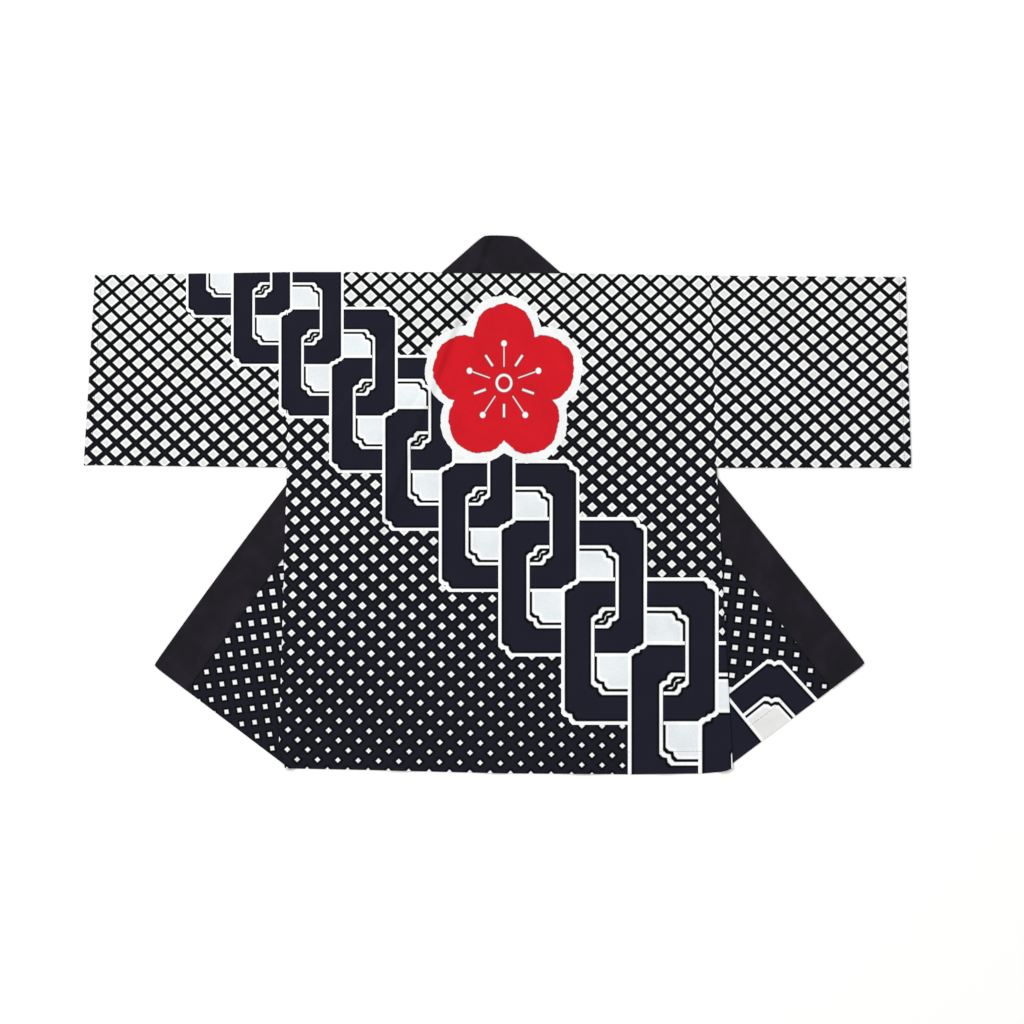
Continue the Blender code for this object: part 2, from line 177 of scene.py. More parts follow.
# Corners that wear and pressing have rounded: the place, how far it is drawn in, and how fast the
# draw falls off.
CORNERS = []
for front in FRONTS.values():
    tip_y = -front.drop
    tip = front.beneath(np.array((front.front_edge(tip_y), tip_y)))
    up = front.beneath(np.array((front.front_edge(tip_y + 0.02), tip_y + 0.02))) - tip
    aside = front.foot - tip
    CORNERS.append((tip, up / np.hypot(*up) + aside / np.hypot(*aside), 0.0015, 0.004))
    CORNERS.append((front.start, np.array((-0.38 * front.sign, -0.92)), 0.0026, 0.0075))


def round_off(plan):
    """Each corner drawn inward, by an exponential of the distance, whose peak cancels the point."""
    for corner, inward, drawn, reach in CORNERS:
        near = np.exp(-np.linalg.norm(plan - corner, axis=-1) / reach)
        plan = plan + drawn * near[..., None] * inward
    return plan


def shoulder(x):
    """Y of the shoulder fold: level on the left, falling evenly to the right armhole."""
    return np.interp(x, (0.0, SIDES["right"]["edge"][0][0]), (0.0, SIDES["right"]["edge"][0][1]))


def back_bed(points):
    """Height under the back: both layers of each front, with its collar, and bare between them."""
    total = 0.0
    for front in FRONTS.values():
        inside_band = -front.sign * (points[..., 0] - front.seam(points[..., 1]))
        band = (COLLAR - CLOTH) * settle(inside_band)
        total = total + settle(front.measure(points)[1]) * (front.front_bed(points) + CLOTH + GAP + band)
    return total


def shoulder_roll(x):
    """Radius of the shoulder fold: half the height between the back and the layer that it meets."""
    crest = np.stack((x, shoulder(x)), axis=-1)
    fronts = sum(front.front_bed(crest) * (front.measure(crest)[1] > 0.0) for front in FRONTS.values())
    return (back_bed(crest) - fronts) / 2


def panel_grid(stops, columns, top, bottom, down):
    """Points of a cut panel as rows and columns.

    Across, x runs through the stops, each a function of y, with the given count of columns
    between one and the next. Down, y runs from the top line to the bottom one, both functions
    of x, found by putting x back in until it no longer moves.
    """
    place = np.concatenate([[0.0]] + [k + np.arange(1, n + 1) / n for k, n in enumerate(columns)])
    weight = np.clip(1.0 - np.abs(place - np.arange(len(stops))[:, None]), 0.0, 1.0)

    def across(y):
        return sum(share * stop(y) for share, stop in zip(weight, stops))

    high = low = np.zeros(len(place))
    for _ in range(12):
        high, low = top(across(high)), bottom(across(low))
    y = high + (low - high) * down[:, None]
    return np.stack((across(y), y), axis=-1)


SEAM_LIP = 0.0008         # the outermost strip of a panel, which rounds down into its seam
SEAM_ROUND = 0.0036       # how far from a seam the cloth starts to round down
SEAM_DIP = 0.0004         # how low it ends there
SEAM_TAKES = 0.0028       # how much more cloth lies in that strip than its width
SEAM_OVERLAP = 0.0002     # how far the cloth reaches into the piece that it is sewn to


def edge_rows(length, count):
    """Shares of a length from 0 to 1, even but for the strips at both ends that round down."""
    lip = np.array((0.0, SEAM_LIP, SEAM_ROUND / 2)) / length
    return np.concatenate((lip, np.linspace(0.0, 1.0, count + 1)[1:-1], 1.0 - lip[::-1]))


def seam_dip(distance):
    """How far the right side drops beside a seam: the whole dip at the seam, nothing past it."""
    return SEAM_DIP * (1.0 - smooth(distance / (SEAM_ROUND / 2)))


def seam_take(distance):
    """How far the print slides into a seam: it grows with the square of the way past the rounding."""
    return SEAM_TAKES * np.clip(1.0 - distance / SEAM_ROUND, 0.0, 1.0) ** 2


def add_mesh(name, points, triangles, material):
    """A mesh object with these triangles, at the place of the coat."""
    mesh = bpy.data.meshes.new(name)
    mesh.vertices.add(len(points))
    mesh.vertices.foreach_set("co", (points + PLAN_ORIGIN).astype(np.float32).ravel())
    mesh.loops.add(3 * len(triangles))
    mesh.loops.foreach_set("vertex_index", triangles.astype(np.int32).ravel())
    mesh.polygons.add(len(triangles))
    mesh.polygons.foreach_set("loop_start", np.arange(0, 3 * len(triangles), 3, dtype=np.int32))
    mesh.update(calc_edges=True)
    mesh.materials.append(material)
    piece = bpy.data.objects.new(name, mesh)
    bpy.context.scene.collection.objects.link(piece)
    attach(piece, "root")
    return piece


def sew(name, right, wrong, cut, material, slid=0.0, keep=None):
    """One closed wall of cloth from two skins on the same grid.

    Points with the same place in the cut are one point. Each cell gives two triangles, the wrong
    side's are turned over, and each open edge gives a strip from one skin to the other. The
    print's place is the place in the cut, and what it slid.
    """
    rows, columns = cut.shape[:2]
    _, first, same = np.unique(np.round(cut.reshape(-1, 2) / 1e-6).astype(np.int64), axis=0,
                               return_index=True, return_inverse=True)
    index = same.reshape(rows, columns)
    a, b, c, d = index[:-1, :-1], index[:-1, 1:], index[1:, 1:], index[1:, :-1]
    cells = np.stack((a, b, c, a, c, d), axis=-1)
    if keep is not None:
        cells = cells[keep]
    faces = cells.reshape(-1, 3)
    faces = faces[(faces[:, 0] != faces[:, 1]) & (faces[:, 1] != faces[:, 2]) & (faces[:, 2] != faces[:, 0])]
    used, faces = np.unique(faces, return_inverse=True)
    faces = faces.reshape(-1, 3)
    count = len(used)
    edges = np.concatenate((faces[:, (0, 1)], faces[:, (1, 2)], faces[:, (2, 0)]))
    open_edges = edges[~np.isin(edges[:, 0] * count + edges[:, 1], edges[:, 1] * count + edges[:, 0])]
    a, b = open_edges.T
    rim = np.concatenate((np.stack((b, a, a + count), axis=-1), np.stack((b, a + count, b + count), axis=-1)))
    triangles = np.concatenate((faces, faces[:, ::-1] + count, rim))
    pick = first[used]
    points = np.concatenate((right.reshape(-1, 3)[pick], wrong.reshape(-1, 3)[pick]))
    piece = add_mesh(name, points, triangles, material)
    places = (cut + slid).reshape(-1, 2)[pick]
    layer = piece.data.uv_layers.new(name="cut")
    layer.data.foreach_set("uv", np.tile(places, (2, 1))[triangles.ravel()].astype(np.float32).ravel())
    inner = piece.data.attributes.new("wrong_side", "FLOAT", "POINT")
    inner.data.foreach_set("value", np.repeat((0.0, 1.0), count).astype(np.float32))
    piece.data.validate()
    piece.data.shade_smooth()
    piece.data.set_sharp_from_angle(angle=math.radians(50.0))
    return piece


def linear(text):
    """A linear colour from an sRGB hex value, channel by channel, by the sRGB curve."""
    shares = [int(text[i:i + 2], 16) / 255.0 for i in (1, 3, 5)]
    return tuple(s / 12.92 if s <= 0.04045 else ((s + 0.055) / 1.055) ** 2.4 for s in shares) + (1.0,)


def join(tree, kind, *inputs, out=0, at=None, stops=(), **settings):
    """Add one node with its settings, feed its inputs from sockets or values, return an output.

    The inputs go to the first sockets in order, or to the sockets whose numbers are in at. Stops
    are the places and the hex colours of a colour ramp, from its low end up.
    """
    node = tree.nodes.new("ShaderNode" + kind)
    for setting, value in settings.items():
        setattr(node, setting, value)
    for number, value in zip(at or range(len(inputs)), inputs):
        if isinstance(value, bpy.types.NodeSocket):
            tree.links.new(value, node.inputs[number])
        elif value is not None:
            node.inputs[number].default_value = value
    for _ in stops[2:]:
        node.color_ramp.elements.new(1.0)
    for element, (place, shade) in zip(node.color_ramp.elements if stops else (), stops):
        element.position, element.color = place, linear(shade)
    return node.outputs[out]


# The diamonds are bare cotton, greyer at heart where the paste was thin, and the ground is a navy
# so deep that it looks black, blackest where the dye pooled along the paste.
BARE = "#F3F4F4"
BARE_SHADE = "#DBDDDA"
GROUND = "#1A1A24"
POOLED = "#070709"
# Each panel was cut from its own place in the cloth: its columns and rows of half diamonds as
# functions of the place in the cut, and the half width of a diamond in half diamonds, which
# shrinks down the coat. The columns take (start, per x, per y, per x and y), and the rows take
# (start, per x, per y, per y squared).
LATTICES = {
    "front_left": dict(columns=(-0.524, 67.94, -7.70, 0.0), rows=(-0.978, -2.44, -70.61, 0.0),
                       half=(0.72, 0.58)),
    "front_right": dict(columns=(0.279, 64.13, 1.35, 0.0), rows=(-0.953, 7.52, -63.17, 0.0),
                        half=(0.665, 0.54)),
    "back": dict(columns=(0.66, 68.96, -0.75, 4.90), rows=(0.03, -1.28, -76.13, -6.05), half=(0.71, 0.61)),
    "sleeve_left": dict(columns=(0.18, 68.49, -1.64, 1.54), rows=(-0.36, -1.84, -75.81, -3.23),
                        half=(0.73, 0.53)),
    "sleeve_right": dict(columns=(0.165, 68.48, -0.54, 4.56), rows=(-1.13, -1.42, -77.91, -8.35),
                         half=(0.68, 0.32)),
}
THREADS = 0.0012          # the weave, drawn coarser than its real half millimetre so that it shows


def cotton_print(name, lattice, overlays=()):
    """Resist-printed cotton: a half-offset lattice of diamonds, then the overlays of this panel.

    Columns and rows of half diamonds are counted. Their sum and their difference, folded up and
    down, say how far a place is from the nearest diamond's middle, and the larger one says
    whether it is inside. Matt staple cotton has hardly any gloss, and a little nap.
    """
    material = bpy.data.materials.new(name)
    material.use_nodes = True
    tree = material.node_tree
    shader = tree.nodes["Principled BSDF"]
    place = join(tree, "UVMap", uv_map="cut")
    x, y = join(tree, "SeparateXYZ", place).node.outputs[:2]
    both = join(tree, "Math", x, y, operation="MULTIPLY")
    square = join(tree, "Math", y, y, operation="MULTIPLY")
    counts = []
    for third, key in ((both, "columns"), (square, "rows")):
        start, *slopes = lattice[key]
        terms = join(tree, "CombineXYZ", x, y, third)
        slope = join(tree, "VectorMath", terms, slopes, out=1, operation="DOT_PRODUCT")
        counts.append(join(tree, "Math", slope, start, operation="ADD"))
    off_centre = []
    for operation in ("ADD", "SUBTRACT"):
        diagonal = join(tree, "Math", *counts, operation=operation)
        off_centre.append(join(tree, "Math", diagonal, 1.0, operation="PINGPONG"))
    reach = join(tree, "Math", *off_centre, operation="MAXIMUM")
    half = join(tree, "Math", y, lattice["half"][1], lattice["half"][0] - 0.5, operation="MULTIPLY_ADD")
    beyond = join(tree, "Math", reach, half, operation="SUBTRACT")
    colour = join(tree, "ValToRGB", beyond, stops=(
        (0.20, BARE_SHADE), (0.34, BARE), (0.44, BARE), (0.56, POOLED), (0.74, POOLED), (0.90, GROUND)))
    for overlay in overlays:
        colour = overlay(tree, x, y, colour)
    # Broad, faint patches where the dye took less, a fine mottle, and slubs along the threads.
    patches = join(tree, "TexNoise", place, None, 18.0, 3.0, 0.55)
    patch_shade = join(tree, "MapRange", patches, 0.3, 0.7, 0.94, 1.05)
    mottle = join(tree, "TexNoise", place, None, 260.0, 2.0, 0.6)
    mottle_shade = join(tree, "MapRange", mottle, 0.3, 0.7, 0.965, 1.025)
    threads = join(tree, "Mapping", place, None, None, (900.0, 70.0, 1.0))
    slubs = join(tree, "TexNoise", threads, None, 1.0, 2.0)
    slub_shade = join(tree, "MapRange", slubs, 0.3, 0.7, 0.985, 1.01)
    shade = join(tree, "Math", patch_shade, slub_shade, operation="MULTIPLY")
    shade = join(tree, "Math", shade, mottle_shade, operation="MULTIPLY")
    colour = join(tree, "VectorMath", colour, shade, at=(0, 3), operation="SCALE")
    # The dye shows through more weakly on the wrong side.
    inner = join(tree, "Attribute", out=2, attribute_name="wrong_side")
    faded = join(tree, "Mix", 0.30, colour, linear("#7E7D82"), at=(0, 6, 7), out=2, data_type="RGBA")
    colour = join(tree, "Mix", inner, colour, faded, at=(0, 6, 7), out=2, data_type="RGBA")
    tree.links.new(colour, shader.inputs["Base Color"])
    # Plain weave: the product of two waves, one across and one along, and the slubs on top.
    waves = []
    for axis in (x, y):
        turns = join(tree, "Math", axis, 2.0 * math.pi / THREADS, operation="MULTIPLY")
        waves.append(join(tree, "Math", turns, operation="SINE"))
    weave = join(tree, "Math", *waves, operation="MULTIPLY")
    height = join(tree, "Math", slubs, 0.6, weave, operation="MULTIPLY_ADD")
    tree.links.new(join(tree, "Bump", 0.25, 0.0001, None, height), shader.inputs["Normal"])
    shader.inputs["Roughness"].default_value = 0.9
    shader.inputs["Specular IOR Level"].default_value = 0.06
    shader.inputs["Sheen Weight"].default_value = 0.03
    shader.inputs["Sheen Roughness"].default_value = 0.5
    return material


# A printed band, from its outer edge inward in band widths: a white line, black where the dye
# pooled, navy, and after the second white line the outline of the pale field inside the link.
BAND_STOPS = ((0.0, "white"), (0.085, "white"), (0.11, "pooled"), (0.15, "pooled"), (0.19, "navy"),
              (0.80, "navy"), (0.84, "pooled"), (0.875, "pooled"), (0.90, "white"), (0.97, "white"),
              (0.99, "pooled"), (1.055, "pooled"), (1.075, "white"), (1.12, "white"), (1.16, "fill"))
BAND_REACH = 1.25
PRINT_COLOURS = {"white": "#F6F7F8", "pooled": POOLED, "navy": "#1E1E2B", "fill": "#E2E8EA"}
LINK_BEVEL = 0.33         # how much of each corner of a link is cut off, in band widths
NICK_DEPTH = 0.05         # the pointed nick in the middle of each bevel, in band widths
NICK_SLOPE = 0.35         # how fast it grows shallow to both sides


def link_depth(tree, across, up, band):
    """Depth inside a box with bevelled corners, from the depths inside its upright and level sides.

    The least of both and of half their sum less the bevel. The nick is deepest where both depths
    are the same, and shallower by its slope times their difference.
    """
    least = join(tree, "Math", across, up, operation="MINIMUM")
    total = join(tree, "Math", across, up, operation="ADD")
    bevel = join(tree, "Math", total, 0.5, -0.5 * LINK_BEVEL * band, operation="MULTIPLY_ADD")
    aside = join(tree, "Math", across, up, operation="SUBTRACT")
    aside = join(tree, "Math", aside, operation="ABSOLUTE")
    nick = join(tree, "Math", aside, -NICK_SLOPE, NICK_DEPTH * band, operation="MULTIPLY_ADD")
    nick = join(tree, "Math", nick, 0.0, operation="MAXIMUM")
    bevel = join(tree, "Math", bevel, nick, operation="SUBTRACT")
    return join(tree, "Math", least, bevel, operation="MINIMUM")


def paint_band(tree, depth, band, under, cover, fill=PRINT_COLOURS["fill"]):
    """White line, navy, white line, black line, then the pale fill, by the depth in bands."""
    share = join(tree, "Math", depth, 1.0 / (band * BAND_REACH), operation="MULTIPLY")
    colours = {**PRINT_COLOURS, "fill": fill}
    stops = [(place / BAND_REACH, colours[shade]) for place, shade in BAND_STOPS]
    paint = join(tree, "ValToRGB", share, stops=stops)
    return join(tree, "Mix", cover, under, paint, at=(0, 6, 7), out=2, data_type="RGBA")


# The right front's cut ends in the corner of a great link, and in the band of the one before it.
CORNER_BAND = 0.0464
CORNER_LINK = (0.1570, -0.6719)      # the top corner of the link
CORNER_TILT = 0.065                  # how much the print climbs to the right
NEXT_BAND_X = 0.2109                 # of the upright line, at the height of the shoulder
NEXT_BAND_LEAN = 0.062               # how far it moves outward for each metre down
CORNER_FILL = "#E2E3E0"              # the pale field, a little warmer than on the back


def corner_link(tree, x, y, under):
    """One link's corner, open to the right and below, and the next band beyond an upright line."""
    across = join(tree, "Math", x, CORNER_LINK[0], operation="SUBTRACT")
    level = join(tree, "Math", across, CORNER_TILT, CORNER_LINK[1], operation="MULTIPLY_ADD")
    down = join(tree, "Math", level, y, operation="SUBTRACT")
    depth = link_depth(tree, across, down, CORNER_BAND)
    beyond = join(tree, "Math", y, NEXT_BAND_LEAN, x, operation="MULTIPLY_ADD")
    beyond = join(tree, "Math", beyond, NEXT_BAND_X, operation="SUBTRACT")
    beyond = join(tree, "Math", beyond, 0.5 * CORNER_BAND, operation="MINIMUM")
    is_beyond = join(tree, "Math", beyond, 0.0, operation="GREATER_THAN")
    inside = join(tree, "Math", depth, 0.0, operation="GREATER_THAN")
    depth = join(tree, "Mix", is_beyond, depth, beyond, at=(0, 2, 3))
    return paint_band(tree, depth, CORNER_BAND, under, inside, CORNER_FILL)


FRONT_HEM_TURN = 0.031    # the width of the fronts' turned hems
FRONT_HEM_STITCHES = 0.0295          # from the hem's edge to its row of stitches
HEM_STEP = 0.0015         # how far the step from doubled to single cloth takes


def hem_rise(distance, turned):
    """Nothing where the hem's turn doubles the cloth, and past it less by a layer, with a soft step."""
    return -SINGLE * smooth((distance - turned) / HEM_STEP)


STITCH = 0.0032
STITCH_STEP = 0.0039      # from one stitch to the next, drawn a little longer than the real one
THREAD = 0.0007
THREAD_PROUD = 0.00022    # how far the thread stands above the cloth

# Mercerised cotton sewing thread, dyed black: smoother than the cloth, with a soft shine.
thread = bpy.data.materials.new("black_sewing_thread")
thread.use_nodes = True
tree = thread.node_tree
place = join(tree, "TexCoord", out=3)
fibres = join(tree, "TexNoise", place, None, 900.0, 2.0)
colour = join(tree, "ValToRGB", fibres, stops=((0.3, "#0C0C0F"), (0.7, "#1C1B22")))
tree.links.new(colour, tree.nodes["Principled BSDF"].inputs["Base Color"])
tree.links.new(join(tree, "Bump", 0.3, 0.0001, None, fibres), tree.nodes["Principled BSDF"].inputs["Normal"])
tree.nodes["Principled BSDF"].inputs["Roughness"].default_value = 0.6
tree.nodes["Principled BSDF"].inputs["Specular IOR Level"].default_value = 0.2


def stitch(name, path, skin):
    """A row of stitches along a path in the cut, taken through the folds as the cloth is.

    Each stitch is a rod of five rings of four points. Its rings are as far along the path as
    they are along the rod, their width and height follow the girth, and the ends dip under.
    """
    run = np.concatenate(([0.0], np.cumsum(np.hypot(*np.diff(path, axis=0).T))))
    middles = np.arange(STITCH_STEP, run[-1] - STITCH_STEP, STITCH_STEP)
    rings = np.linspace(-0.5, 0.5, 5)
    at = middles[:, None] + rings * STITCH
    spot = np.stack([np.interp(at, run, path[:, axis]) for axis in (0, 1)], axis=-1)
    ahead = np.stack([np.interp(at + 1e-4, run, path[:, axis]) for axis in (0, 1)], axis=-1) - spot
    beside = np.stack((-ahead[..., 1], ahead[..., 0]), axis=-1) / np.hypot(*ahead.T).T[..., None]
    girth = 1.0 - 2.2 * rings ** 2
    turn = np.arange(4) * math.pi / 2
    aside = girth[:, None] * np.cos(turn) * THREAD / 2
    height = THREAD_PROUD * (girth[:, None] * (1.0 + np.sin(turn)) - 1.1)
    cut = spot[:, :, None] + aside[..., None] * beside[:, :, None]
    points = skin(cut, np.broadcast_to(height, cut.shape[:-1])).reshape(-1, 3)
    k, j = np.meshgrid(np.arange(4), np.arange(4), indexing="ij")
    a, b = 4 * k + j, 4 * k + (j + 1) % 4
    walls = np.stack((a, b, b + 4, a, b + 4, a + 4), axis=-1).reshape(-1, 3)
    ends = np.array(((0, 2, 1), (0, 3, 2), (16, 17, 18), (16, 18, 19)))
    rod = np.concatenate((walls, ends))
    triangles = (np.arange(len(middles))[:, None, None] * 20 + rod).reshape(-1, 3)
    piece = add_mesh(name, points, triangles, thread)
    work = bmesh.new()
    work.from_mesh(piece.data)
    bmesh.ops.recalc_face_normals(work, faces=work.faces)
    work.to_mesh(piece.data)
    work.free()
    piece.data.shade_smooth()
    return piece


def between(line, one, other):
    """A line's x at each height, held between two others."""
    return lambda y: np.clip(line(y), np.minimum(one(y), other(y)), np.maximum(one(y), other(y)))


for front in FRONTS.values():
    clear_seam = lambda y: front.seam(y, -SEAM_OVERLAP)
    lip = front.sign * SEAM_LIP
    round_in = front.sign * SEAM_ROUND / 2
    side_lip, seam_lip = (lambda y: front.side(y) - lip), (lambda y: clear_seam(y) + lip)
    rolls = [between(lambda y, share=share: front.fold_x(y, -share * ROLL_LENGTH), side_lip, seam_lip)
             for share in np.linspace(0.0, 1.0, 7)]
    stops = [front.side, side_lip, *rolls, seam_lip, clear_seam]
    tip_x = float(front.front_edge(-front.drop))
    hem = np.array(sorted((tuple(front.edge[-1]), tuple(front.foot), (tip_x, -front.drop))))
    hem_y = lambda x: np.interp(x, hem[:, 0], hem[:, 1])
    cut = panel_grid(stops, [1, 55, 1, 1, 1, 1, 1, 1, 45, 1], lambda x: shoulder(x) - shoulder_roll(x) - GAP,
                     hem_y, edge_rows(0.75, 185))

    def front_skin(points, height):
        """The print side, at a height above the cloth, which is thinner above the turned hem."""
        above_hem = points[..., 1] - hem_y(points[..., 0])
        from_seam = front.sign * (points[..., 0] - clear_seam(points[..., 1]))
        rise = CLOTH / 2 + hem_rise(above_hem, FRONT_HEM_TURN) - seam_dip(from_seam) + height
        return front.fold_over(points, -rise, front.front_bed, CLOTH)

    right = front_skin(cut, 0.0)
    wrong = front.fold_over(cut, np.full(cut.shape[:2], CLOTH / 2), front.front_bed, CLOTH)
    if front.sign > 0:
        right, wrong, cut = right[:, ::-1], wrong[:, ::-1], cut[:, ::-1]
    overlays = [corner_link] if front.name == "right" else []
    finish = cotton_print(f"resist_printed_cotton_front_{front.name}", LATTICES[f"front_{front.name}"], overlays)
    piece = sew(f"front_cloth_{front.name}", right, wrong, cut, finish)
    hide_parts(f"front_{front.name}")
    hem_x = np.linspace(tip_x + front.sign * COLLAR_WIDTH, front.edge[-1][0] - lip, 200)
    hem_path = np.stack((hem_x, hem_y(hem_x) + FRONT_HEM_STITCHES), axis=-1)
    hem_path = hem_path[front.measure(hem_path)[1] < -ROLL_LENGTH]
    stitches = stitch(f"hem_stitches_front_{front.name}", hem_path, front_skin)

# The collar
# One long band of plain navy cotton, folded double over a stiffener and sewn round the neck and
# down both fronts to the hem. It turns outward with each front, and at the back of the neck it
# stands above the shoulder line with its corners mitred down to the two sides.


def band_cotton():
    """Closely woven plain cotton, dyed in the piece: smoother than the print, with a faint sheen."""
    material = bpy.data.materials.new("plain_navy_cotton")
    material.use_nodes = True
    tree = material.node_tree
    shader = tree.nodes["Principled BSDF"]
    place = join(tree, "UVMap", uv_map="cut")
    patches = join(tree, "TexNoise", place, None, 22.0, 4.0, 0.6)
    colour = join(tree, "ValToRGB", patches, stops=((0.25, "#18171B"), (0.5, "#1E1C22"), (0.75, "#27222C")))
    tree.links.new(colour, shader.inputs["Base Color"])
    waves = []
    for axis in join(tree, "SeparateXYZ", place).node.outputs[:2]:
        turns = join(tree, "Math", axis, 2.0 * math.pi / THREADS, operation="MULTIPLY")
        waves.append(join(tree, "Math", turns, operation="SINE"))
    weave = join(tree, "Math", *waves, operation="MULTIPLY")
    tree.links.new(join(tree, "Bump", 0.2, 0.0001, None, weave), shader.inputs["Normal"])
    shader.inputs["Roughness"].default_value = 0.85
    shader.inputs["Specular IOR Level"].default_value = 0.08
    shader.inputs["Sheen Weight"].default_value = 0.03
    return material


def neck_point(front):
    """Where the collar seam meets the shoulder line."""
    x = front.seam(0.0)
    return np.array((x, float(shoulder(x))))


def mitre(front):
    """The slanted end of the collar at the neck: its top, its direction and the way inward."""
    down = neck_point(front) - front.start
    down = down / np.hypot(*down)
    return front.start, down, front.sign * np.array((down[1], -down[0]))


COLLAR_STITCHES = 0.0022  # from the collar seam to the row of stitches along it
collar_finish = band_cotton()
for front in FRONTS.values():
    lip = front.sign * SEAM_LIP
    edge_lip, seam_lip = (lambda y: front.front_edge(y) + lip), (lambda y: front.seam(y) - lip)
    rolls = [between(lambda y, share=share: front.fold_x(y, -share * ROLL_LENGTH), seam_lip, edge_lip)
             for share in np.linspace(0.0, 1.0, 9)]
    stops = [front.seam, seam_lip, *rolls, edge_lip, front.front_edge]
    top, down, inward = mitre(front)
    start = neck_point(front) + inward * (FRONT_ROLL + GAP)
    end = np.array((front.front_edge(front.start[1] - 0.005), front.start[1] - 0.005))
    slope = (end[1] - start[1]) / (end[0] - start[0])
    foot_x = float(front.front_edge(-front.drop))
    hem_slope = (front.foot[1] + front.drop) / (front.foot[0] - foot_x)
    cut = panel_grid(stops, [1, 10] + [1] * 8 + [14, 1], lambda x: start[1] + (x - start[0]) * slope,
                     lambda x: -front.drop + (x - foot_x) * hem_slope, edge_rows(0.82, 260))
    band_bed = lambda points: (COLLAR + GAP) * settle(front.inside_edge(points))

    def band_skin(points, height):
        """The band's right side, at a height above it, rounding down to the collar seam."""
        from_seam = -front.sign * (points[..., 0] - front.seam(points[..., 1]))
        return front.fold_over(points, seam_dip(from_seam) - COLLAR / 2 - height, band_bed, COLLAR)

    right = band_skin(cut, 0.0)
    wrong = front.fold_over(cut, np.full(cut.shape[:2], COLLAR / 2), band_bed, COLLAR)
    if front.sign > 0:
        right, wrong, cut = right[:, ::-1], wrong[:, ::-1], cut[:, ::-1]
    piece = sew(f"collar_band_{front.name}", right, wrong, cut, collar_finish)
    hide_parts(f"collar_{front.name}")
    seam_y = np.linspace(-0.01, -front.drop, 300)
    seam_path = np.stack((front.seam(seam_y, -COLLAR_STITCHES), seam_y), axis=-1)
    seam_path = seam_path[front.measure(seam_path)[1] < -ROLL_LENGTH]
    stitches = stitch(f"collar_stitches_{front.name}", seam_path, band_skin)

# The middle of the band, behind the neck, whose mitred ends roll down onto the two sides.
CLOTH_ROLL = 0.00065      # radius of the pressed folds along the shoulders and the sleeves
left, right_front = FRONTS["left"], FRONTS["right"]
seam_y = float(shoulder(neck_point(right_front)[0])) - CLOTH_ROLL + GAP
turn = math.pi * FRONT_ROLL


def mitre_x(front, distance):
    """X at height y of the line parallel to a mitre, at a distance inward from it."""
    top, down, across = mitre(front)
    return lambda y: top[0] + distance * across[0] + down[0] * (y - top[1] - distance * across[1]) / down[1]


def neck_skin(points, rise):
    """Level on its bed, and rolled down round a half turn past each mitre."""
    plan = points
    drop = 0.0
    for front in FRONTS.values():
        top, _, across = mitre(front)
        inward = (points - top) @ across
        angle = np.clip((FRONT_ROLL - inward) / turn, 0.0, 1.0) * math.pi
        rolled = FRONT_ROLL - (FRONT_ROLL + rise) * np.sin(angle)
        plan = plan + np.where(angle > 0.0, rolled - inward, 0.0)[..., None] * across
        drop = drop + (FRONT_ROLL + rise) * (1.0 - np.cos(angle))
    level = np.maximum(back_bed(plan) + COLLAR / 2 + rise - drop, 0.0)
    return np.concatenate((round_off(plan), level[..., None]), axis=-1)


insets = [FRONT_ROLL - turn + turn * share for share in np.linspace(0.0, 1.0, 9)]
stops = [mitre_x(left, inset) for inset in insets] + [mitre_x(right_front, inset) for inset in insets[::-1]]
top_line = lambda x: np.interp(x, (left.start[0], right_front.start[0]), (left.start[1], right_front.start[1]))
cut = panel_grid(stops, [1] * 8 + [70] + [1] * 8, lambda x: np.full(np.shape(x), seam_y), top_line,
                 edge_rows(0.058, 24))
neck_thick = COLLAR / 2 - seam_dip(cut[..., 1] - seam_y)
piece = sew("collar_band_neck", neck_skin(cut, neck_thick), neck_skin(cut, np.full_like(neck_thick, -COLLAR / 2)),
            cut, collar_finish)
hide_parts("collar_neck")
neck_x = np.linspace(neck_point(left)[0] + 0.004, neck_point(right_front)[0] - 0.004, 80)
neck_path = np.stack((neck_x, np.full_like(neck_x, seam_y + COLLAR_STITCHES)), axis=-1)
stitches = stitch("collar_stitches_neck", neck_path, lambda points, height: neck_skin(points, COLLAR / 2 + height))

# The back
# One panel of printed cotton, from the hem over the shoulder folds, with the neck edge sewn to
# the collar. A chain of square links runs down it from the left shoulder to the right hem, and
# a red blossom sits between the shoulders.

HEM = np.array(((-0.3277, -0.7460), (-0.3235, -0.7470), (-0.200, -0.7495), (0.000, -0.7545),
                (0.200, -0.7560), (0.300, -0.7547), (0.3280, -0.7522), (0.3385, -0.7498), (0.3465, -0.7460)))
BACK_HEM_TURN = 0.035
BACK_HEM_STITCHES = 0.0335
